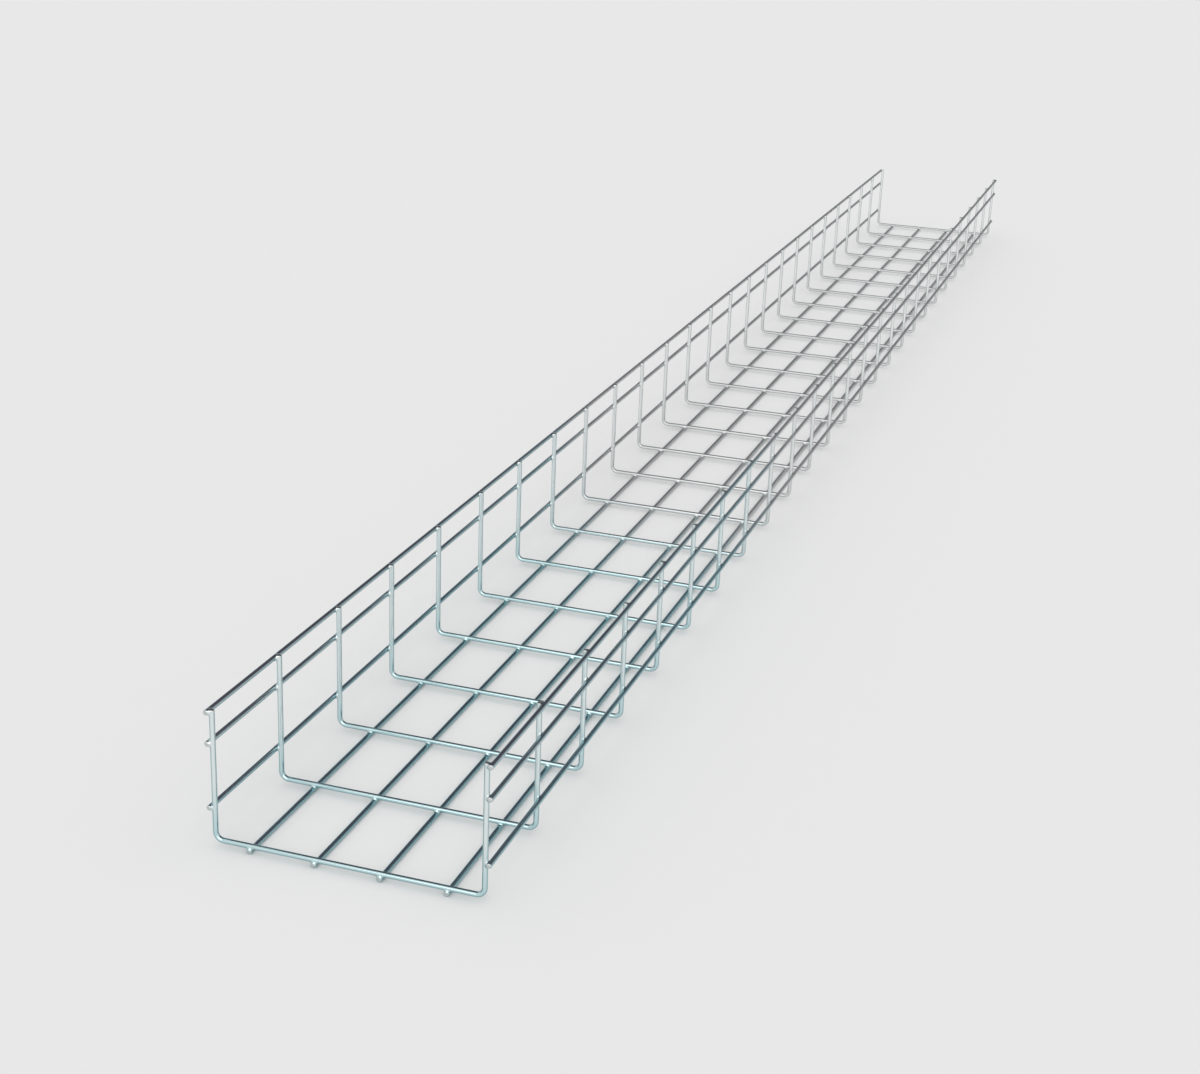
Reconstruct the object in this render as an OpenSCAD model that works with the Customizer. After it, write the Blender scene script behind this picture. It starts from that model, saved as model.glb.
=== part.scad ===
// Wire mesh cable tray: one straight length of welded steel wire, open above
// and at both ends. The cross wires are bent into a U and lie inside. The
// straight wires run the whole length, under the floor and outside the walls.
// X runs along the tray, Y across it and Z up. The origin is on the floor
// that the tray stands on, under its middle.

/* [Wire] */
// Diameter of the straight wires
straight_wire_d = 4; // [3:0.1:6]
// Diameter of the bent cross wires
cross_wire_d = 4; // [3:0.1:6]
// Depth to which a weld presses one wire into the other
weld_depth = 0.6; // [0.4:0.1:1.2]

/* [Length] */
// Distance from one cross wire to the next
cross_pitch = 100; // [50:5:150]
// Number of cross wires
cross_count = 26; // [2:1:31]
// Length of the straight wires past the middle of the outermost cross wires
end_overhang = 3; // [2.5:0.5:45]

/* [Section] */
// Clear width between the uprights of a cross wire
clear_width = 200; // [150:10:300]
// Height of the uprights' tips above the middle of the floor's cross wires
upright_height = 101; // [90:1:160]
// Radius of the bends, to the middle of the wire
bend_radius = 6; // [5:0.5:12]

/* [Straight wires] */
// Distance between the straight wires of the floor
floor_pitch = 50; // [40:1:60]
// Height of the lowest side wire above the middle of the floor's cross wires
low_side_height = 25; // [20:1:35]
// Distance between the side wires below the rim
side_pitch = 50; // [40:1:60]
// Distance from the uprights' tips down to the middle of the rim wire
rim_drop = 2; // [2:0.5:10]

/* [Hidden] */

// Each wire is a bar of 8 flat sides, with the section area of the round wire
wire_sides = 8;
side_turn = 180 / wire_sides;
// Facets that a full turn of a bend would have
bend_facets = 96;

// Places of the cross wires along the tray
mesh_length = (cross_count - 1) * cross_pitch;
tray_length = mesh_length + 2 * end_overhang;
cross_places = [for (i = [0 : cross_count - 1]) i * cross_pitch - mesh_length / 2];

// Middle of the wires: how far they lie apart at a weld, and where they run
weld_distance = (straight_wire_d + cross_wire_d) / 2 - weld_depth;
floor_wire_z = bar_half_width(straight_wire_d);
cross_wire_z = floor_wire_z + weld_distance;
upright_y = (clear_width + cross_wire_d) / 2;
side_wire_y = upright_y + weld_distance;
straight_floor = 2 * (upright_y - bend_radius);

// The floor takes as many wires as fit on its straight stretch, half to each side
floor_wires_a_side = floor((straight_floor - straight_wire_d) / (2 * floor_pitch) + 0.5);
floor_wire_places = [for (i = [1 : floor_wires_a_side], side = [-1, 1]) side * (i - 0.5) * floor_pitch];

// The side wires stop where the next one would crowd the rim wire
rim_height = upright_height - rim_drop;
least_rim_gap = 2 * straight_wire_d;
side_wire_heights = [
  for (z = low_side_height; z <= rim_height - least_rim_gap; z = z + side_pitch) z,
  rim_height
];

// Distance from the middle of a bar to its corners, and to its flat sides
function bar_corner(d) = d / 2 * sqrt(2 * PI / (wire_sides * sin(360 / wire_sides)));
function bar_half_width(d) = bar_corner(d) * cos(side_turn);

// A straight bar that stands on the origin, with flat sides towards X and Y
module bar(length, d) {
  rotate([0, 0, side_turn])
    cylinder(h = length, r = bar_corner(d), $fn = wire_sides);
}

// A quarter turn of cross wire, from straight down to straight towards +Y
module bend() {
  rotate([0, 90, 0])
    rotate_extrude(angle = 90, $fn = bend_facets)
      translate([bend_radius, 0])
        rotate(side_turn)
          circle(r = bar_corner(cross_wire_d), $fn = wire_sides);
}

// One U, with the middle of its floor stretch on the origin
module cross_wire() {
  translate([0, -straight_floor / 2, 0])
    rotate([-90, 0, 0])
      bar(straight_floor, cross_wire_d);
  for (side = [0, 1])
    mirror([0, side, 0]) {
      translate([0, straight_floor / 2, bend_radius])
        bend();
      translate([0, upright_y, bend_radius])
        bar(upright_height - bend_radius, cross_wire_d);
    }
}

// One wire of the full length, at a place in the tray's section
module straight_wire(y, z) {
  translate([-tray_length / 2, y, z])
    rotate([0, 90, 0])
      bar(tray_length, straight_wire_d);
}

// All wires, fused where they cross, as the welds join them
module welded_mesh() {
  color("silver")
    union() {
      for (x = cross_places)
        translate([x, 0, cross_wire_z])
          cross_wire();
      for (y = floor_wire_places)
        straight_wire(y, floor_wire_z);
      for (side = [-1, 1], height = side_wire_heights)
        straight_wire(side * side_wire_y, cross_wire_z + height);
    }
}

welded_mesh();
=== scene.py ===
"""Looks of the wire mesh cable tray: round drawn wires, resistance welds and blue-passivated zinc.

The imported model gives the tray's length, height and place. This file puts round wires with filleted welds
and clipped ends where the plain bars stand, gives them their zinc, and sets the floor, cards, lamp and
camera.
"""
import logging
import math
from dataclasses import dataclass
from enum import Enum

import bpy
import numpy as np
from mathutils import Matrix, Vector


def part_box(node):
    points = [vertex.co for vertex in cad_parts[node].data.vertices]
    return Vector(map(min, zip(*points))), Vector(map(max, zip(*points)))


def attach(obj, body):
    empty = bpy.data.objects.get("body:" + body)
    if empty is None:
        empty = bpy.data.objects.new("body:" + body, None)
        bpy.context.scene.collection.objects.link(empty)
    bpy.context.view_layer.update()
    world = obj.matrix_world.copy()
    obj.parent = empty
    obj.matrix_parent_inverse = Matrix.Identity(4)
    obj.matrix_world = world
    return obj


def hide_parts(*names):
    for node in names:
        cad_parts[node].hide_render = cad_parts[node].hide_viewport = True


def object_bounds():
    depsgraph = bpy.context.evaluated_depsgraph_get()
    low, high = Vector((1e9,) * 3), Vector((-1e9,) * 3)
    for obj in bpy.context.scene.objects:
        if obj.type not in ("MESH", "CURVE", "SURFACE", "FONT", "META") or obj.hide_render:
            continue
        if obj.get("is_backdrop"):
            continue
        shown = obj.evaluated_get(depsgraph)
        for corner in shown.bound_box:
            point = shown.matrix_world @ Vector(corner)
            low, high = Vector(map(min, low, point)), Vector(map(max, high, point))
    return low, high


Tree = bpy.types.NodeTree
Socket = bpy.types.NodeSocket

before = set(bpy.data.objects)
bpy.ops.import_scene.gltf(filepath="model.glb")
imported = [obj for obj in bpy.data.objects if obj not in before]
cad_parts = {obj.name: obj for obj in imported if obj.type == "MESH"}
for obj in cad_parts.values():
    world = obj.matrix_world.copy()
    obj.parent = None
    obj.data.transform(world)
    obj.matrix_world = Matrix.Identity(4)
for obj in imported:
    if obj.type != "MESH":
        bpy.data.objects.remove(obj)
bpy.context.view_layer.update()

LOG = logging.getLogger("cable_tray")
MM = 0.001
MESH_NODE = "welded_mesh"
BODY = "root"

# What the meshes carry for the finish to read.
WIRE_MAP = "wire_lay"
WELD_HEAT = "weld_heat"
CLIPPED_END = "clipped_end"

# Settings of Math nodes: the greater of two values, and the first times the second, with or without the
# third added.
GREATER = {"operation": "MAXIMUM"}
TIMES = {"operation": "MULTIPLY"}
TIMES_PLUS = {"operation": "MULTIPLY_ADD"}
# Settings of a Map Range node that eases in and out, and of a Mix node that mixes two colours.
SMOOTH = {"interpolation_type": "SMOOTHSTEP"}
COLOURS = {"data_type": "RGBA"}
# Sockets of that Mix node by number: the share of the second colour, the two colours, and the result.
SHARE = 0
FIRST = 6
SECOND = 7
MIXED = 2

# A length too small to matter, which keeps a division by a nil length from failing.
TINY = 1e-9
# How far past a weld a wire runs on, where its end is out of the weld's reach.
FAR_ALONG = 1.0
# Direction along the tray.
LENGTHWAYS = (1.0, 0.0, 0.0)


def linear(hex_colour: str) -> tuple[float, float, float, float]:
    """Turns an sRGB hex colour into linear light.

    A channel c gives c / 12.92 up to 0.04045, and ((c + 0.055) / 1.055) ^ 2.4 above that.

    Args:
        hex_colour: six hex digits, with or without a leading #.

    Returns:
        Red, green and blue in linear light, and an alpha of 1.
    """
    digits = hex_colour.lstrip("#")
    channels = [int(digits[i : i + 2], 16) / 255 for i in (0, 2, 4)]
    light = [c / 12.92 if c <= 0.04045 else ((c + 0.055) / 1.055) ** 2.4 for c in channels]
    return (light[0], light[1], light[2], 1.0)


def add_node(
    tree: Tree,
    kind: str,
    settings: dict | None = None,
    values: dict | None = None,
    links: dict | None = None,
) -> bpy.types.NodeOutputs:
    """Adds one shader node with its settings, its socket values and the links that feed it.

    Args:
        tree: the node tree that the node goes into.
        kind: Blender's name for the node, after the ShaderNode that each begins with.
        settings: the node's own properties by name.
        values: constants by input socket, named or numbered.
        links: output sockets that feed an input socket, by its name or number.

    Returns:
        The new node's output sockets.
    """
    node = tree.nodes.new(f"ShaderNode{kind}")
    for name, value in (settings or {}).items():
        setattr(node, name, value)
    for socket, value in (values or {}).items():
        node.inputs[socket].default_value = value
    for socket, source in (links or {}).items():
        tree.links.new(source, node.inputs[socket])
    return node.outputs


def empty_material(name: str) -> bpy.types.Material:
    """Makes a material that has no nodes yet.

    Args:
        name: the material's name.

    Returns:
        The material.
    """
    material = bpy.data.materials.new(name)
    material.use_nodes = True
    material.node_tree.nodes.clear()
    return material


def in_scene(name: str, data: bpy.types.ID) -> bpy.types.Object:
    """Makes an object of a mesh, a lamp or a camera, and puts it in the scene at the origin.

    Args:
        name: the object's name.
        data: what it is made of.

    Returns:
        The object.
    """
    made = bpy.data.objects.new(name, data)
    bpy.context.scene.collection.objects.link(made)
    return made


# -------------------------------------------------------------- sizes


@dataclass(frozen=True)
class TraySizes:
    """Sizes of the tray in metres, X along it, Y across it and Z up from what it stands on.

    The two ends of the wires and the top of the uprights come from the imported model; the rest are the
    sizes that the wires are drawn, cut, bent and welded to.
    """

    half_length: float
    rim_top: float
    wire_d: float = 4.0 * MM
    weld_depth: float = 0.6 * MM
    cross_pitch: float = 100.0 * MM
    end_overhang: float = 3.0 * MM
    clear_width: float = 200.0 * MM
    upright_height: float = 101.0 * MM
    bend_radius: float = 6.0 * MM
    floor_pitch: float = 50.0 * MM
    low_side_height: float = 25.0 * MM
    side_pitch: float = 50.0 * MM
    rim_drop: float = 2.0 * MM

    @classmethod
    def from_frame(cls) -> "TraySizes":
        """Reads the tray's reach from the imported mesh: its far end in X and its top in Z."""
        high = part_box(MESH_NODE)[1]
        return cls(half_length=high[0], rim_top=high[2])

    @property
    def radius(self) -> float:
        """Half the thickness of the wire."""
        return self.wire_d / 2

    @property
    def weld_distance(self) -> float:
        """Distance between the centrelines of two wires pressed into each other."""
        return self.wire_d - self.weld_depth

    @property
    def cross_z(self) -> float:
        """Height of the cross wires' floor stretch."""
        return self.rim_top - self.upright_height

    @property
    def floor_wire_z(self) -> float:
        """Height of the straight wires under the floor stretch."""
        return self.cross_z - self.weld_distance

    @property
    def upright_y(self) -> float:
        """Half the distance between the two rows of uprights."""
        return self.clear_width / 2 + self.radius

    @property
    def side_wire_y(self) -> float:
        """Half the distance between the straight wires outside the uprights."""
        return self.upright_y + self.weld_distance

    @property
    def flat_half(self) -> float:
        """Half of the straight part of the floor stretch, up to where a bend begins."""
        return self.upright_y - self.bend_radius

    @property
    def bend_length(self) -> float:
        """Length of wire in one bend: a quarter of a circle."""
        return self.bend_radius * math.pi / 2

    @property
    def cross_half_length(self) -> float:
        """Length of a cross wire from the middle of the floor to the top of an upright."""
        return self.arc_of_height(self.upright_height)

    @property
    def cross_places(self) -> np.ndarray:
        """Where the cross wires stand along the tray.

        Returns:
            Their X, from one end to the other.
        """
        reach = self.half_length - self.end_overhang
        count = round(2 * reach / self.cross_pitch) + 1
        return np.linspace(-reach, reach, count)

    @property
    def floor_places(self) -> np.ndarray:
        """Where the straight floor wires lie across the tray, evenly on both sides of its middle."""
        a_side = int((self.flat_half - self.radius) / self.floor_pitch + 0.5)
        return (np.arange(2 * a_side) - a_side + 0.5) * self.floor_pitch

    @property
    def side_heights(self) -> np.ndarray:
        """Heights of the straight side wires over the floor stretch: low, middle and rim."""
        rim = self.upright_height - self.rim_drop
        return np.array([self.low_side_height, self.low_side_height + self.side_pitch, rim])

    def arc_of_height(self, height: float | np.ndarray) -> float | np.ndarray:
        """Length of cross wire from the middle of the floor up to a height over it on an upright."""
        return self.flat_half + self.bend_length + height - self.bend_radius


# ----------------------------------------------------------- geometry


class Side(Enum):
    """The two walls of the tray, by the sign of Y."""

    LEFT = 1
    RIGHT = -1


@dataclass(frozen=True)
class Neighbours:
    """The wire welded nearest to each ring of a run of wires, as arrays that spread over its grid.

    Attributes:
        point: where the neighbour's centreline passes the weld.
        along: the neighbour's direction.
        start: where the neighbour ends behind the point, as a negative distance.
        end: where it ends past the point.
        reach: how near the two surfaces are where the weld's fillet begins.
    """

    point: np.ndarray
    along: np.ndarray
    start: np.ndarray
    end: np.ndarray
    reach: np.ndarray


@dataclass(frozen=True)
class WireShape:
    """A round wire's section, how its rings stand at a weld, and the form of its clipped ends."""

    radius: float
    sides: int = 18
    # Radius of the rounding at a clipped end, and the rings that it has.
    end_round: float = 0.8 * MM
    end_rings: int = 4
    # How far off square a clipped end is, in degrees.
    least_slant: float = 2.0
    most_slant: float = 9.0
    # Rings at a weld, how far they stand to each side, and how closely they gather at its middle, from 1.
    weld_rings: int = 13
    weld_span: float = 8.0 * MM
    gather: float = 1.6
    # Least distance from an end's rounding to the next ring.
    ring_gap: float = 0.25 * MM
    # How many times the search for a weld's surface halves its range.
    halvings: int = 14

    def turns(self) -> np.ndarray:
        """Angles round the section at which its flats meet."""
        return np.arange(self.sides) * (2 * math.pi / self.sides)

    def weld_offsets(self) -> np.ndarray:
        """Ring places round a weld, gathered at its middle: span * sign(u) * |u| ^ gather, |u| up to 1."""
        u = np.linspace(-1.0, 1.0, self.weld_rings)
        return self.weld_span * np.sign(u) * np.abs(u) ** self.gather

    def ring_places(self, welds: np.ndarray, low: float, high: float, extra: np.ndarray) -> np.ndarray:
        """Places the rings of a wire's plain part, between the roundings of its two ends.

        Args:
            welds: distances along the wire of its welds.
            low: where the wire starts.
            high: where it ends.
            extra: other distances that need a ring, such as those of a bend.

        Returns:
            The distances in rising order, from low + end_round to high - end_round, to the nearest
            thousandth of a millimetre and none twice.
        """
        first = low + self.end_round
        last = high - self.end_round
        near = (welds[:, None] + self.weld_offsets()[None, :]).ravel()
        places = np.concatenate([near, extra])
        places = places[(places > first + self.ring_gap) & (places < last - self.ring_gap)]
        return np.unique(np.round(np.concatenate([[first], places, [last]]), 6))

    def with_ends(self, places: np.ndarray) -> tuple[np.ndarray, np.ndarray]:
        """Adds the rings that round both ends.

        Args:
            places: distances along the wire of the rings of its plain part.

        Returns:
            The distances of all rings, and each ring's lean in radians: 0 on the wire's side, up to a
            quarter turn at the flat of an end. A ring of lean L stands end_round * sin L past the plain
            part and is drawn in by end_round * (1 - cos L).
        """
        lean = np.linspace(0.0, math.pi / 2, self.end_rings + 1)[1:]
        past = self.end_round * np.sin(lean)
        arcs = np.concatenate([places[0] - past[::-1], places, places[-1] + past])
        leans = np.concatenate([-lean[::-1], np.zeros(len(places)), lean])
        return arcs, leans


def rod_distance(points: np.ndarray, rods: Neighbours, shape: WireShape) -> tuple[np.ndarray, np.ndarray]:
    """Distance of points from a straight rod with rounded ends, and the direction away from it.

    With s the place along the rod and q the distance from its axis, u = q - (radius - end_round) and
    v = how far s is past the rod's end, less the rounding. The distance is
    hypot(max(u, 0), max(v, 0)) + min(max(u, v), 0) - end_round.

    Args:
        points: the points, last axis x, y, z.
        rods: the rod for each point.
        shape: the rod's section and rounding.

    Returns:
        The distances, and unit vectors that point away from the rod.
    """
    rel = points - rods.point
    s = np.sum(rel * rods.along, axis=-1)
    across = rel - s[..., None] * rods.along
    q = np.linalg.norm(across, axis=-1)
    u = q - (shape.radius - shape.end_round)
    past_end = s - (rods.end - shape.end_round)
    past_start = (rods.start + shape.end_round) - s
    v = np.maximum(past_end, past_start)
    outward = np.where(past_end >= past_start, 1.0, -1.0)[..., None] * rods.along
    radial = across / np.maximum(q, TINY)[..., None]
    u_out = np.maximum(u, 0.0)
    v_out = np.maximum(v, 0.0)
    distance = np.hypot(u_out, v_out) + np.minimum(np.maximum(u, v), 0.0) - shape.end_round
    outside = (u_out + v_out) > 0
    weight_u = np.where(outside, u_out, (u >= v).astype(float))
    weight_v = np.where(outside, v_out, (u < v).astype(float))
    away = weight_u[..., None] * radial + weight_v[..., None] * outward
    away /= np.maximum(np.linalg.norm(away, axis=-1), TINY)[..., None]
    return distance, away


def weld_skin(
    points: np.ndarray, normals: np.ndarray, rods: Neighbours, shape: WireShape
) -> tuple[np.ndarray, np.ndarray, np.ndarray]:
    """Draws a wire's skin out into the fillets of its welds.

    The welded surface is where the smooth minimum of the two wires' distances is nil:
    min(a, b) - h * h * k / 4 = 0, with h = max(k - |a - b|, 0) / k, a the distance from this wire, b that
    from its neighbour and k the weld's reach. A point moves out along its normal by the a, between 0 and
    k / 4, that solves this, found by halving. Both wires meet at a = b = k / 4, and their normals, the
    gradient of the smooth minimum, are the same there, so the weld shows no line.

    Args:
        points: points of the bare wire.
        normals: its unit normals.
        rods: the neighbour of each point.
        shape: the section of the wires.

    Returns:
        The moved points, their normals, and how near the neighbour is: 1 where the wires touch, falling
        to 0 by a Gauss curve as wide as half a wire.
    """
    k = rods.reach
    low = np.zeros(points.shape[:-1])
    high = np.broadcast_to(k / 4, low.shape).copy()
    for _ in range(shape.halvings):
        a = (low + high) / 2
        b = rod_distance(points + a[..., None] * normals, rods, shape)[0]
        h = np.maximum(k - np.abs(a - b), 0.0) / k
        inside = np.minimum(a, b) - h * h * k / 4 < 0
        low = np.where(inside, a, low)
        high = np.where(inside, high, a)
    a = (low + high) / 2
    moved = points + a[..., None] * normals
    b, away = rod_distance(moved, rods, shape)
    h = np.maximum(k - np.abs(a - b), 0.0) / k
    own = np.where(a <= b, 1 - h / 2, h / 2)[..., None]
    blended = own * normals + (1 - own) * away
    blended /= np.maximum(np.linalg.norm(blended, axis=-1), TINY)[..., None]
    heat = np.exp(-((np.maximum(b, 0.0) / shape.radius) ** 2))
    return moved, blended, heat


@dataclass(frozen=True)
class WeldGrid:
    """Every crossing of a cross wire with a straight wire, with its own seeded weld.

    Straight wires are counted floor first, then the left wall from the bottom up, then the right wall.
    """

    sizes: TraySizes
    # Mean reach of a weld's fillet, its spread from weld to weld, and the most spreads that it strays.
    mean_reach: float = 2.3 * MM
    spread: float = 0.25 * MM
    most_spreads: float = 2.0
    seed: int = 41

    def reach(self) -> np.ndarray:
        """Draws the reach of each weld's fillet.

        Returns:
            The reaches, cross wires down and straight wires across.
        """
        rng = np.random.default_rng(self.seed)
        straight = len(self.sizes.floor_places) + 2 * len(self.sizes.side_heights)
        stray = rng.standard_normal((len(self.sizes.cross_places), straight))
        return self.mean_reach + self.spread * np.clip(stray, -self.most_spreads, self.most_spreads)

    def straight_columns(self) -> tuple[slice, slice, slice]:
        """Tells which straight wires lie where.

        Returns:
            The columns of the floor, of the left wall and of the right wall.
        """
        floor = len(self.sizes.floor_places)
        side = len(self.sizes.side_heights)
        return slice(0, floor), slice(floor, floor + side), slice(floor + side, floor + 2 * side)


@dataclass(frozen=True)
class WireRun:
    """Like wires whose rings stand at the same distances along each: arrays (wires, rings, 3).

    Attributes:
        centre: the centreline at each ring.
        along: its direction.
        facing: the direction that the section starts from, square to along.
        arcs: distance along the wire of each ring, (wires, rings).
        leans: each ring's lean towards an end, (rings,).
        rods: the neighbour of each ring, ready to spread over the section.
        shape: the wires' section.
        seed: seed of the slant of the clipped ends.
    """

    centre: np.ndarray
    along: np.ndarray
    facing: np.ndarray
    arcs: np.ndarray
    leans: np.ndarray
    rods: Neighbours
    shape: WireShape
    seed: int

    def bare_skin(self) -> tuple[np.ndarray, np.ndarray]:
        """Carries the round section along the centrelines.

        A point is centre + w * (cos f * facing + sin f * across), with f round the section,
        across = facing x along and w = radius - end_round * (1 - cos lean). An end is slanted by moving
        its points along the wire by tan(slant) * |sin lean| * (offset from the axis in the slant's
        direction).

        Returns:
            Points and unit normals, (wires, rings, sides, 3).
        """
        shape = self.shape
        f = shape.turns()
        across = np.cross(self.facing, self.along)
        ring = np.cos(f)[:, None] * self.facing[:, :, None, :] + np.sin(f)[:, None] * across[:, :, None, :]
        width = (shape.radius - shape.end_round * (1 - np.cos(self.leans)))[None, :, None]
        rng = np.random.default_rng(self.seed)
        wires = self.centre.shape[0]
        slant = np.tan(np.radians(rng.uniform(shape.least_slant, shape.most_slant, (wires, 2))))
        turn = rng.uniform(0.0, 2 * math.pi, (wires, 2))
        at_end = (self.leans > 0).astype(int)
        tilt = slant[:, at_end][:, :, None] * np.cos(f[None, None, :] - turn[:, at_end][:, :, None])
        amount = np.abs(np.sin(self.leans))[None, :, None]
        shift = tilt * amount * width
        along = self.along[:, :, None, :]
        points = self.centre[:, :, None, :] + width[..., None] * ring + shift[..., None] * along
        lean = self.leans[None, :, None, None]
        normals = np.cos(lean) * ring + np.sin(lean) * along
        return points, normals

    def skin(self) -> tuple[np.ndarray, np.ndarray, np.ndarray]:
        """The wires' skin with its welds drawn out: points, normals and closeness to a weld."""
        points, normals = self.bare_skin()
        return weld_skin(points, normals, self.rods, self.shape)

    @staticmethod
    def faces(index: np.ndarray) -> tuple[np.ndarray, np.ndarray]:
        """Joins each ring to the next with quads, and closes each end with one face.

        Args:
            index: the number of each point, (wires, rings, sides).

        Returns:
            The faces' corners, one face after another, and how many corners each face has.
        """
        wires, rings, sides = index.shape
        turned = np.roll(index, -1, axis=2)
        quads = np.stack([index[:, :-1], index[:, 1:], turned[:, 1:], turned[:, :-1]], axis=-1)
        starts = index[:, 0, :]
        ends = index[:, -1, ::-1]
        corners = np.concatenate([quads.ravel(), starts.ravel(), ends.ravel()])
        counts = np.concatenate([np.full(wires * (rings - 1) * sides, 4), np.full(2 * wires, sides)])
        return corners, counts

    def lay(self) -> np.ndarray:
        """Maps the faces for the finish: u runs round the wire and v along it, both in metres.

        On the flat of an end, u and v run across it.

        Returns:
            (u, v) of each corner, in the order of the faces.
        """
        wires, rings = self.arcs.shape
        sides = self.shape.sides
        step = 2 * math.pi * self.shape.radius / sides
        u = np.broadcast_to(np.arange(sides) * step, (wires, rings - 1, sides))
        v_low = np.broadcast_to(self.arcs[:, :-1, None], u.shape)
        v_high = np.broadcast_to(self.arcs[:, 1:, None], u.shape)
        quad_u = np.stack([u, u, u + step, u + step], axis=-1)
        quad_v = np.stack([v_low, v_high, v_high, v_low], axis=-1)
        flat = self.shape.radius - self.shape.end_round
        flat_u = flat * np.cos(self.shape.turns())
        flat_v = flat * np.sin(self.shape.turns())
        start_v = self.arcs[:, :1] + flat_v
        end_v = self.arcs[:, -1:] + flat_v[::-1]
        all_u = np.concatenate([quad_u.ravel(), np.tile(flat_u, wires), np.tile(flat_u[::-1], wires)])
        all_v = np.concatenate([quad_v.ravel(), start_v.ravel(), end_v.ravel()])
        return np.stack([all_u, all_v], axis=-1)

    def piece(self, name: str) -> bpy.types.Object:
        """Puts the wires into one mesh object, with what the finish reads.

        Args:
            name: name of the piece.

        Returns:
            The object, in the scene and at the origin.
        """
        points, normals, heat = self.skin()
        corners, counts = self.faces(np.arange(heat.size).reshape(heat.shape))

        mesh = bpy.data.meshes.new(name)
        mesh.vertices.add(heat.size)
        mesh.vertices.foreach_set("co", points.astype(np.float32).ravel())
        mesh.loops.add(len(corners))
        mesh.loops.foreach_set("vertex_index", corners.astype(np.int32))
        mesh.polygons.add(len(counts))
        mesh.polygons.foreach_set("loop_start", (np.cumsum(counts) - counts).astype(np.int32))
        mesh.update(calc_edges=True)
        mesh.validate()

        mesh.uv_layers.new(name=WIRE_MAP).uv.foreach_set("vector", self.lay().astype(np.float32).ravel())
        clipped = np.broadcast_to(np.abs(np.sin(self.leans))[None, :, None], heat.shape)
        for label, values in ((WELD_HEAT, heat), (CLIPPED_END, clipped)):
            mark = mesh.attributes.new(label, "FLOAT", "POINT")
            mark.data.foreach_set("value", values.astype(np.float32).ravel())
        mesh.polygons.foreach_set("use_smooth", np.ones(len(counts), dtype=bool))
        mesh.normals_split_custom_set_from_vertices(normals.reshape(-1, 3).astype(np.float32))

        return in_scene(name, mesh)


# -------------------------------------------------- wires of the tray


@dataclass(frozen=True)
class StraightWires:
    """The wires that run the tray's whole length, under its floor or outside one wall."""

    sizes: TraySizes
    grid: WeldGrid
    shape: WireShape
    # Seed of the slant of their clipped ends, to which a group's first column is added.
    slant_seed: int = 100

    def run(
        self, y: np.ndarray, z: np.ndarray, toward: tuple[float, float, float], columns: slice
    ) -> WireRun:
        """Works out a group of straight wires: centre = (arc, y, z), neighbours = the cross wires.

        Args:
            y: each wire's place across the tray.
            z: each wire's height.
            toward: direction from the wires to the cross wires that they are welded to.
            columns: which straight wires of the weld grid these are.

        Returns:
            The run.
        """
        sizes = self.sizes
        crossings = sizes.cross_places
        half = sizes.half_length
        middles = (crossings[:-1] + crossings[1:]) / 2
        arcs, leans = self.shape.with_ends(self.shape.ring_places(crossings, -half, half, middles))
        wires = len(y)
        all_arcs = np.broadcast_to(arcs, (wires, len(arcs)))
        all_y = np.broadcast_to(y[:, None], all_arcs.shape)
        all_z = np.broadcast_to(z[:, None], all_arcs.shape)
        centre = np.stack([all_arcs, all_y, all_z], axis=-1)
        nearest = np.argmin(np.abs(arcs[:, None] - crossings[None, :]), axis=1)
        facing = np.array(toward)
        beside = np.abs(np.cross(facing, LENGTHWAYS))
        point = centre.copy()
        point[:, :, 0] = crossings[nearest]
        point += sizes.weld_distance * facing
        # An upright ends at its tip, above the side wires. A floor stretch has no end near a floor wire.
        on_a_wall = abs(toward[1]) > 0
        end = np.where(on_a_wall, sizes.rim_top - z, FAR_ALONG)
        rods = Neighbours(
            point=point[:, :, None, :],
            along=np.broadcast_to(beside, point[:, :, None, :].shape),
            start=np.full((wires, 1, 1), -FAR_ALONG),
            end=end[:, None, None],
            reach=self.grid.reach()[nearest, columns].T[:, :, None],
        )
        return WireRun(
            centre=centre,
            along=np.broadcast_to(LENGTHWAYS, centre.shape),
            facing=np.broadcast_to(facing, centre.shape),
            arcs=all_arcs,
            leans=leans,
            rods=rods,
            shape=self.shape,
            seed=self.slant_seed + columns.start,
        )

    def floor_run(self) -> WireRun:
        """Works out the wires under the floor stretch, welded to it from below.

        Returns:
            The run.
        """
        y = self.sizes.floor_places
        z = np.full(len(y), self.sizes.floor_wire_z)
        return self.run(y, z, (0.0, 0.0, 1.0), self.grid.straight_columns()[0])

    def side_run(self, side: Side) -> WireRun:
        """Works out the wires outside one wall, welded to its uprights.

        Args:
            side: which wall.

        Returns:
            The run.
        """
        z = self.sizes.cross_z + self.sizes.side_heights
        y = np.full(len(z), side.value * self.sizes.side_wire_y)
        columns = self.grid.straight_columns()[1 if side is Side.LEFT else 2]
        return self.run(y, z, (0.0, -float(side.value), 0.0), columns)


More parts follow.
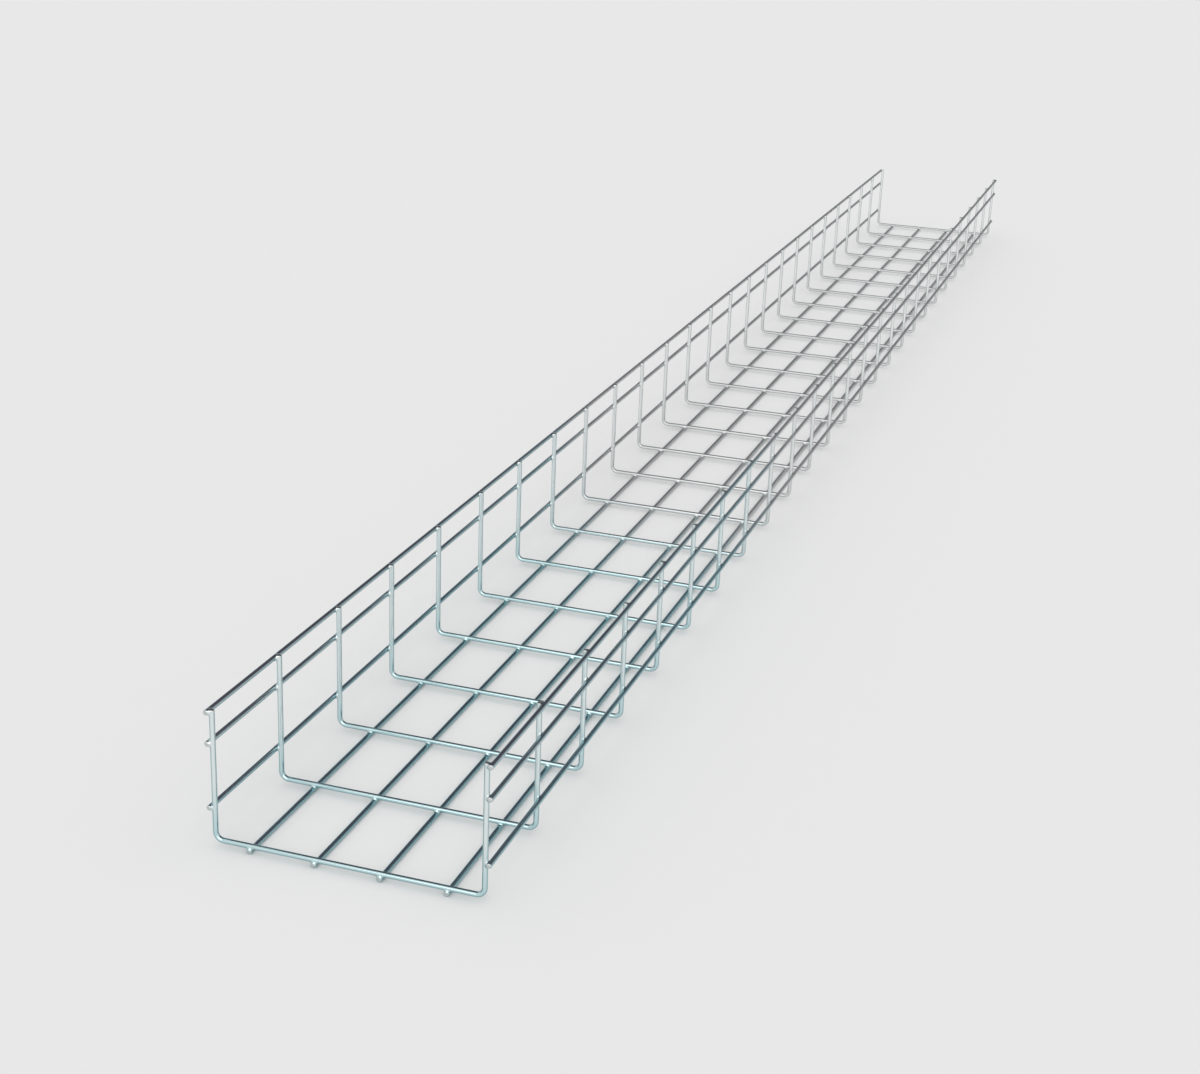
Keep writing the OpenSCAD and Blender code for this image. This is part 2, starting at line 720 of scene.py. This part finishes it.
@dataclass(frozen=True)
class CrossWires:
    """The wires bent to a U across the tray: an upright, the floor stretch and the other upright."""

    sizes: TraySizes
    grid: WeldGrid
    shape: WireShape
    bend_rings: int = 9
    # Seed of the slant of their clipped ends, to which a group's number is added.
    slant_seed: int = 301

    def path(self, arcs: np.ndarray) -> tuple[np.ndarray, np.ndarray, np.ndarray]:
        """The U's centreline by distance s from the middle of the floor.

        With F the half of the flat, R the bend's radius and t = clip((|s| - F) / R, 0, pi / 2):
        y = sign(s) * (min(|s|, F) + R sin t), z = cross_z + R (1 - cos t) + max(|s| - F - R pi / 2, 0).

        Args:
            arcs: the distances s.

        Returns:
            Places (y, z), directions (y, z), and the outward direction (y, z), down under the floor and
            away from the tray on its walls.
        """
        sizes = self.sizes
        s = np.abs(arcs)
        sign = np.where(arcs < 0, -1.0, 1.0)
        t = np.clip((s - sizes.flat_half) / sizes.bend_radius, 0.0, math.pi / 2)
        y = sign * (np.minimum(s, sizes.flat_half) + sizes.bend_radius * np.sin(t))
        rise = np.maximum(s - sizes.flat_half - sizes.bend_length, 0.0)
        z = sizes.cross_z + sizes.bend_radius * (1 - np.cos(t)) + rise
        place = np.stack([y, z], axis=-1)
        along = np.stack([np.cos(t), sign * np.sin(t)], axis=-1)
        out = np.stack([sign * np.sin(t), -np.cos(t)], axis=-1)
        return place, along, out

    def welds(self) -> tuple[np.ndarray, np.ndarray]:
        """Places the welds along one cross wire, in the order of the weld grid's columns.

        Returns:
            Their distances from the middle of the floor, and the (y, z) of the straight wires'
            centrelines.
        """
        sizes = self.sizes
        floor_y = sizes.floor_places
        up = sizes.arc_of_height(sizes.side_heights)
        wall_y = np.full(len(up), sizes.side_wire_y)
        wall_z = sizes.cross_z + sizes.side_heights
        arcs = np.concatenate([floor_y, up, -up])
        y = np.concatenate([floor_y, wall_y, -wall_y])
        z = np.concatenate([np.full(len(floor_y), sizes.floor_wire_z), wall_z, wall_z])
        return arcs, np.stack([y, z], axis=-1)

    @staticmethod
    def in_space(x: np.ndarray, pairs: np.ndarray) -> np.ndarray:
        """Puts each wire's x in front of the (y, z) of every ring.

        Args:
            x: one value for each wire.
            pairs: (y, z) for each ring, the same in all wires.

        Returns:
            The values, (wires, rings, 3).
        """
        whole = np.empty((len(x), len(pairs), 3))
        whole[:, :, 0] = x[:, None]
        whole[:, :, 1:] = pairs
        return whole

    def run(self, chosen: slice, number: int) -> WireRun:
        """Works out a group of cross wires, whose neighbours are the straight wires.

        Args:
            chosen: which cross wires, counted from the near end.
            number: the group's own number, for the seed of its clipped ends.

        Returns:
            The run.
        """
        sizes = self.sizes
        x = sizes.cross_places[chosen]
        still = np.zeros(len(x))
        marks, spots = self.welds()
        bend = sizes.flat_half + np.linspace(0.0, sizes.bend_length, self.bend_rings)
        extra = np.concatenate([bend, -bend, [0.0]])
        half = sizes.cross_half_length
        arcs, leans = self.shape.with_ends(self.shape.ring_places(marks, -half, half, extra))
        place, along, out = self.path(arcs)
        nearest = np.argmin(np.abs(arcs[:, None] - marks[None, :]), axis=1)
        point = self.in_space(x, spots[nearest])[:, :, None, :]
        rods = Neighbours(
            point=point,
            along=np.broadcast_to(LENGTHWAYS, point.shape),
            start=(-sizes.half_length - x)[:, None, None],
            end=(sizes.half_length - x)[:, None, None],
            reach=self.grid.reach()[chosen][:, nearest][:, :, None],
        )
        return WireRun(
            centre=self.in_space(x, place),
            along=self.in_space(still, along),
            facing=self.in_space(still, out),
            arcs=np.broadcast_to(arcs, (len(x), len(arcs))),
            leans=leans,
            rods=rods,
            shape=self.shape,
            seed=self.slant_seed + number,
        )


# ------------------------------------------------------------- finish


@dataclass(frozen=True)
class BluePassivatedZinc:
    """Electroplated zinc on drawn steel wire, sealed in a blue passivating bath.

    The mesh is plated after it is welded, so the bright zinc runs over welds and clipped ends alike. The
    eye sees a bright metal with fine lines along the wire, left by the drawing die, and a faint
    cloudiness. The thin passive film gives it a cool blue-green cast, which is deeper where the wire is
    seen aslant, because light then crosses more of the film. The film is full at the end that hung lowest
    in the bath. Past film_edge along the tray it is thin, so the zinc's own pale grey shows there. High on
    the walls a painted highlight whitens the zinc seen face on, and aslant there the thin film's colour
    partly shows. The zinc also turns from bright to satin along the tray. Clipped ends are duller and
    rougher, and welds a little.
    """

    # Under the full film, seen face on and aslant.
    filmed: str = "#cbe4e7"
    filmed_aslant: str = "#85b0b7"
    # Under the thin film.
    clear: str = "#dadcdc"
    clear_aslant: str = "#bec3c3"
    # A painted highlight high on the walls, seen face on. Aslant, that is clear_aslant too.
    painted_highlight: str = "#f7fafa"
    # On clipped ends.
    dull: str = "#c2c5c3"
    # How far a surface is turned aside where it begins to look aslant and where it wholly does, 0 to 1.
    aslant_from: float = 0.12
    aslant_to: float = 0.58
    # Where along the tray the full film gives way to the thin one, half the length over which it does, how
    # far that place wanders to each side, and how often in a metre.
    film_edge: float = -0.53
    film_soft: float = 0.15
    film_wander: float = 0.10
    wander_scale: float = 6.0
    # Heights between which the painted highlight comes in up the walls, its share above them, and the power
    # of that share that holds aslant, where the film shows longer.
    highlight_from: float = 10.0 * MM
    highlight_to: float = 50.0 * MM
    highlight_share: float = 0.7
    highlight_aslant_power: float = 3.5
    # Places along the tray between which bright zinc turns satin.
    satin_from: float = -1.0
    satin_to: float = 0.3
    bright_roughness: float = 0.12
    satin_roughness: float = 0.48
    # How dull a weld is, where a clipped end is 1; then what a clipped end has of the dull colour, and the
    # roughness that it adds.
    heat_share: float = 0.25
    dull_share: float = 0.7
    dull_roughness: float = 0.2
    # Clouds: their size, the octaves and strength of finer ones in them, and the roughness they add.
    cloud_size: float = 22.0 * MM
    cloud_detail: float = 3.0
    cloud_grain: float = 0.55
    cloud_dulling: float = 0.06
    # Die lines are some 0.05 mm apart; they are drawn 0.5 mm apart, the finest that shows. The last two are
    # the octaves and strength of finer lines between them.
    line_pitch: float = 0.5 * MM
    line_length: float = 45.0 * MM
    line_height: float = 0.008 * MM
    line_detail: float = 4.0
    line_grain: float = 0.6

    def thinned(self, tree: Tree, place: Socket, lengthways: Socket) -> Socket:
        """Thins the film along the tray: smoothstep of x + wander * (2 * noise - 1), round film_edge.

        Args:
            tree: the material's nodes.
            place: the place on the tray.
            lengthways: its x.

        Returns:
            How thin the film is: 0 is full and 1 is thin.
        """
        wander = add_node(
            tree, "TexNoise", values={"Scale": self.wander_scale}, links={"Vector": place}
        )["Fac"]
        shifted = add_node(
            tree, "Math", TIMES_PLUS, {1: self.film_wander * 2}, {0: wander, 2: lengthways}
        )[0]
        edge = self.film_edge + self.film_wander
        span = {"From Min": edge - self.film_soft, "From Max": edge + self.film_soft}
        return add_node(tree, "MapRange", SMOOTH, span, {"Value": shifted})["Result"]

    def zinc_colour(self, tree: Tree, thinned: Socket, upwards: Socket) -> Socket:
        """Mixes the colour that the zinc has under its film, whitened by a painted highlight high on the
        walls.

        Args:
            tree: the material's nodes.
            thinned: how thin the film is along the tray.
            upwards: the height, above which a painted highlight whitens the zinc.

        Returns:
            The colour.
        """
        # Painted highlight: seen face on, the zinc turns near white up the walls, in place of light
        # mirrored by the uprights.
        highlight_span = {"From Min": self.highlight_from, "From Max": self.highlight_to, "To Max": self.highlight_share}
        painted_highlight = add_node(tree, "MapRange", values=highlight_span, links={"Value": upwards})["Result"]
        facing = add_node(tree, "LayerWeight")["Facing"]
        span = {"From Min": self.aslant_from, "From Max": self.aslant_to}
        aslant = add_node(tree, "MapRange", SMOOTH, span, {"Value": facing})["Result"]
        tones = {FIRST: linear(self.filmed), SECOND: linear(self.clear)}
        level_on = add_node(tree, "Mix", COLOURS, tones, {SHARE: thinned})[MIXED]
        face_on = add_node(
            tree, "Mix", COLOURS, {SECOND: linear(self.painted_highlight)}, {SHARE: painted_highlight, FIRST: level_on}
        )[MIXED]
        # Aslant, the painted highlight and the thin film both turn the zinc towards clear_aslant.
        highlight_aslant = add_node(
            tree, "Math", {"operation": "POWER"}, {1: self.highlight_aslant_power}, {0: painted_highlight}
        )[0]
        thinned_or_highlit = add_node(tree, "Math", GREATER, links={0: thinned, 1: highlight_aslant})[0]
        tones = {FIRST: linear(self.filmed_aslant), SECOND: linear(self.clear_aslant)}
        side_on = add_node(tree, "Mix", COLOURS, tones, {SHARE: thinned_or_highlit})[MIXED]
        views = {SHARE: aslant, FIRST: face_on, SECOND: side_on}
        return add_node(tree, "Mix", COLOURS, links=views)[MIXED]

    def roughness(self, tree: Tree, place: Socket, lengthways: Socket, dull: Socket) -> Socket:
        """Adds up the zinc's roughness: bright to satin along the tray, its clouds, and its dull places.

        Args:
            tree: the material's nodes.
            place: the place on the tray.
            lengthways: its x.
            dull: how dull the zinc is there.

        Returns:
            The roughness.
        """
        clouds = {"Scale": 1 / self.cloud_size, "Detail": self.cloud_detail, "Roughness": self.cloud_grain}
        cloud = add_node(tree, "TexNoise", values=clouds, links={"Vector": place})["Fac"]
        turning = {
            "From Min": self.satin_from,
            "From Max": self.satin_to,
            "To Min": self.bright_roughness,
            "To Max": self.satin_roughness,
        }
        satin = add_node(tree, "MapRange", values=turning, links={"Value": lengthways})["Result"]
        clouded = add_node(tree, "Math", TIMES_PLUS, {1: self.cloud_dulling}, {0: cloud, 2: satin})[0]
        return add_node(tree, "Math", TIMES_PLUS, {1: self.dull_roughness}, {0: dull, 2: clouded})[0]

    def die_lines(self, tree: Tree) -> Socket:
        """Scores the wire lengthways with noise that is drawn out along it, on the wire's own map.

        Args:
            tree: the material's nodes.

        Returns:
            The normal of the scored surface.
        """
        lay = add_node(tree, "UVMap", {"uv_map": WIRE_MAP})["UV"]
        stretch = {"Scale": (1 / self.line_pitch, 1 / self.line_length, 1.0)}
        drawn = add_node(tree, "Mapping", values=stretch, links={"Vector": lay})["Vector"]
        grain = {"Scale": 1.0, "Detail": self.line_detail, "Roughness": self.line_grain}
        lines = add_node(tree, "TexNoise", values=grain, links={"Vector": drawn})["Fac"]
        depth = {"Strength": 1.0, "Distance": self.line_height}
        return add_node(tree, "Bump", values=depth, links={"Height": lines})["Normal"]

    def material(self, name: str) -> bpy.types.Material:
        """Builds the zinc.

        Args:
            name: the material's name.

        Returns:
            The material, metallic, with its colour, roughness and bump from nodes.
        """
        material = empty_material(name)
        tree = material.node_tree
        place = add_node(tree, "TexCoord")["Object"]
        apart = add_node(tree, "SeparateXYZ", links={"Vector": place})
        heat = add_node(tree, "Attribute", {"attribute_name": WELD_HEAT})["Fac"]
        clipped = add_node(tree, "Attribute", {"attribute_name": CLIPPED_END})["Fac"]
        weld_dull = add_node(tree, "Math", TIMES, {1: self.heat_share}, {0: heat})[0]
        dull = add_node(tree, "Math", GREATER, links={0: weld_dull, 1: clipped})[0]
        dull_amount = add_node(tree, "Math", TIMES, {1: self.dull_share}, {0: dull})[0]
        zinc = self.zinc_colour(tree, self.thinned(tree, place, apart["X"]), apart["Z"])
        shares = {SHARE: dull_amount, FIRST: zinc}
        colour = add_node(tree, "Mix", COLOURS, {SECOND: linear(self.dull)}, shares)[MIXED]
        rough = self.roughness(tree, place, apart["X"], dull)
        feeds = {"Base Color": colour, "Roughness": rough, "Normal": self.die_lines(tree)}
        shader = add_node(tree, "BsdfPrincipled", values={"Metallic": 1.0}, links=feeds)["BSDF"]
        add_node(tree, "OutputMaterial", links={"Surface": shader})
        return material


# ------------------------------------------------------------- studio


def pointing(heading: float, height: float) -> Vector:
    """Unit vector of a heading from +X to +Y and a height over level, both in radians."""
    level = math.cos(height)
    return Vector((math.cos(heading) * level, math.sin(heading) * level, math.sin(height)))


def flat_sheet(
    name: str, corners: list[tuple[float, float, float]], material: bpy.types.Material
) -> bpy.types.Object:
    """Adds a sheet of one face to the scene.

    Args:
        name: the sheet's name.
        corners: its four corners.
        material: what it is made of.

    Returns:
        The sheet.
    """
    mesh = bpy.data.meshes.new(name)
    mesh.from_pydata(corners, [], [(0, 1, 2, 3)])
    mesh.materials.append(material)
    return in_scene(name, mesh)


@dataclass(frozen=True)
class Studio:
    """A plain pale floor and soft, even light, with two grey cards that the bright wires mirror.

    The sky and the lamp together give one unit of light on level ground, so a colour renders as written.
    Only reflections show the cards: they are seen by nothing else and they throw no shadow. The one past
    the far end pales towards its foot, because wires further from the eye mirror lower parts of it.
    """

    # Colour of the floor and of the background.
    pale: str = "#e8e8e8"
    # The sky's share of the light.
    sky: float = 0.88
    # Width, heading from +X to +Y, and height of the lamp, in degrees.
    lamp_spread: float = 60.0
    lamp_heading: float = 188.0
    lamp_height: float = 30.0
    # How far the floor goes to each side.
    floor_reach: float = 400.0
    # Tones of the cards.
    far_card: str = "#665962"
    far_card_foot: str = "#c0bec0"
    top_card: str = "#55575b"
    # The far card stands at card_distance, from card_foot up to card_height. There the top card hangs, from
    # card_back to card_distance. Both are twice card_half_width across.
    card_distance: float = 6.0
    card_back: float = -2.1
    card_half_width: float = 8.4
    card_foot: float = 0.02
    card_height: float = 7.0
    # Heights between which the far card fades from its foot's tone to its own.
    fade_low: float = 1.4
    fade_high: float = 3.4

    def floor(self, level: float) -> bpy.types.Object:
        """Lays the floor under the tray's lowest point, far wider than any view of it.

        Args:
            level: the height of the tray's lowest point.

        Returns:
            The floor.
        """
        reach = self.floor_reach
        corners = [(x * reach, y * reach, level) for x, y in ((-1, -1), (1, -1), (1, 1), (-1, 1))]
        material = empty_material("matt_pale_paper")
        tree = material.node_tree
        shader = add_node(tree, "BsdfDiffuse", values={"Color": linear(self.pale)})["BSDF"]
        add_node(tree, "OutputMaterial", links={"Surface": shader})
        floor = flat_sheet("floor", corners, material)
        floor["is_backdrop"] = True
        return floor

    def card(
        self, name: str, corners: list[tuple[float, float, float]], colour: str, foot: str
    ) -> bpy.types.Object:
        """Sets up one card, which only shiny surfaces see.

        Args:
            name: the card's name.
            corners: its four corners.
            colour: its tone high up.
            foot: its tone low down, which fades to the other between fade_low and fade_high.

        Returns:
            The card.
        """
        material = empty_material(f"felt_of_{name}")
        tree = material.node_tree
        place = add_node(tree, "TexCoord")["Object"]
        height = add_node(tree, "SeparateXYZ", links={"Vector": place})["Z"]
        span = {"From Min": self.fade_low, "From Max": self.fade_high}
        risen = add_node(tree, "MapRange", SMOOTH, span, {"Value": height})["Result"]
        tones = {FIRST: linear(foot), SECOND: linear(colour)}
        tone = add_node(tree, "Mix", COLOURS, tones, {SHARE: risen})[MIXED]
        glow = add_node(tree, "Emission", values={"Strength": 1.0}, links={"Color": tone})["Emission"]
        add_node(tree, "OutputMaterial", links={"Surface": glow})
        card = flat_sheet(name, corners, material)
        for ray in ("camera", "diffuse", "shadow", "transmission"):
            setattr(card, f"visible_{ray}", False)
        card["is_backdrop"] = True
        return card

    def cards(self) -> list[bpy.types.Object]:
        """Stands one card past the far end and hangs another over the tray.

        Returns:
            The cards.
        """
        away = self.card_distance
        back = self.card_back
        side = self.card_half_width
        foot = self.card_foot
        top = self.card_height
        upright = [(away, -side, foot), (away, side, foot), (away, side, top), (away, -side, top)]
        level = [(back, -side, top), (away, -side, top), (away, side, top), (back, side, top)]
        return [
            self.card("far_card", upright, self.far_card, self.far_card_foot),
            self.card("top_card", level, self.top_card, self.top_card),
        ]

    def sky_light(self) -> bpy.types.World:
        """Makes the world: even light on matt surfaces, the floor's pale tone to the eye and to gloss.

        Returns:
            The world.
        """
        world = bpy.data.worlds.new("soft_sky")
        bpy.context.scene.world = world
        world.use_nodes = True
        tree = world.node_tree
        tree.nodes.clear()
        path = add_node(tree, "LightPath")
        shown = path["Is Camera Ray"]
        for ray in ("Is Glossy Ray", "Is Transmission Ray"):
            shown = add_node(tree, "Math", GREATER, links={0: shown, 1: path[ray]})[0]
        white = {"Color": (1.0, 1.0, 1.0, 1.0), "Strength": self.sky}
        light = add_node(tree, "Background", values=white)[0]
        pale = add_node(tree, "Background", values={"Color": linear(self.pale), "Strength": 1.0})[0]
        both = add_node(tree, "MixShader", links={0: shown, 1: light, 2: pale})[0]
        add_node(tree, "OutputWorld", links={"Surface": both})
        return world

    def lamp(self) -> bpy.types.Object:
        """Sets one wide soft lamp on the camera's side, as a sun so broad that its edge is soft.

        Level ground gets strength * sin(height) / pi of light from it.

        Returns:
            The lamp.
        """
        height = math.radians(self.lamp_height)
        heading = math.radians(self.lamp_heading)
        data = bpy.data.lights.new("soft_lamp", "SUN")
        data.energy = (1.0 - self.sky) * math.pi / math.sin(height)
        data.angle = math.radians(self.lamp_spread)
        lamp = in_scene("soft_lamp", data)
        lamp.rotation_mode = "QUATERNION"
        lamp.rotation_quaternion = pointing(heading, height).to_track_quat("Z", "Y")
        return lamp


@dataclass(frozen=True)
class ViewPoint:
    """Where the camera stands and how it is turned, in degrees: heading from +X to +Y, pitch up, roll."""

    place: tuple[float, float, float] = (-2.3068, -0.5098, 0.6888)
    heading: float = 17.657
    pitch: float = -20.422
    roll: float = 2.350
    # Focal length and sensor's width, in millimetres.
    lens: float = 57.53
    sensor: float = 36.0
    # Nearest and furthest that it sees.
    nearest: float = 0.01
    furthest: float = 1000.0

    def camera(self) -> bpy.types.Object:
        """Makes the camera and gives it to the scene.

        Returns:
            The camera.
        """
        data = bpy.data.cameras.new("camera")
        data.lens = self.lens
        data.sensor_width = self.sensor
        data.clip_start = self.nearest
        data.clip_end = self.furthest
        camera = in_scene("camera", data)
        forward = pointing(math.radians(self.heading), math.radians(self.pitch))
        level = forward.to_track_quat("-Z", "Y").to_matrix()
        turned = level @ Matrix.Rotation(math.radians(self.roll), 3, "Z")
        camera.matrix_world = Matrix.Translation(self.place) @ turned.to_4x4()
        bpy.context.scene.camera = camera
        return camera


# --------------------------------------------------------------- tray


@dataclass(frozen=True)
class CableTray:
    """The whole tray: its straight wires, its cross wires and their one finish."""

    sizes: TraySizes
    finish: BluePassivatedZinc

    def pieces(self) -> list[bpy.types.Object]:
        """Builds every group of wires as one piece and dresses it.

        Returns:
            The pieces.
        """
        grid = WeldGrid(self.sizes)
        shape = WireShape(self.sizes.radius)
        straight = StraightWires(self.sizes, grid, shape)
        cross = CrossWires(self.sizes, grid, shape)
        half = len(self.sizes.cross_places) // 2
        made = [
            straight.floor_run().piece("floor_wires"),
            straight.side_run(Side.LEFT).piece("left_side_wires"),
            straight.side_run(Side.RIGHT).piece("right_side_wires"),
            cross.run(slice(0, half), 0).piece("near_cross_wires"),
            cross.run(slice(half, 2 * half), 1).piece("far_cross_wires"),
        ]
        zinc = self.finish.material("blue_passivated_zinc")
        for piece in made:
            piece.data.materials.append(zinc)
            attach(piece, BODY)
            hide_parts(MESH_NODE)
        return made


def main() -> None:
    """Sets the camera, builds the tray and the studio, and reports each piece."""
    logging.basicConfig(level=logging.INFO, format="%(name)s: %(message)s")
    bpy.context.scene.view_settings.view_transform = "Standard"
    ViewPoint().camera()
    for piece in CableTray(TraySizes.from_frame(), BluePassivatedZinc()).pieces():
        triangles = sum(len(face.vertices) - 2 for face in piece.data.polygons)
        LOG.info("%s: %d triangles", piece.name, triangles)
    studio = Studio()
    studio.floor(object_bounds()[0][2])
    studio.cards()
    studio.sky_light()
    studio.lamp()
    LOG.info("floor, cards, sky and lamp are set")


if __name__ == "__main__":
    main()
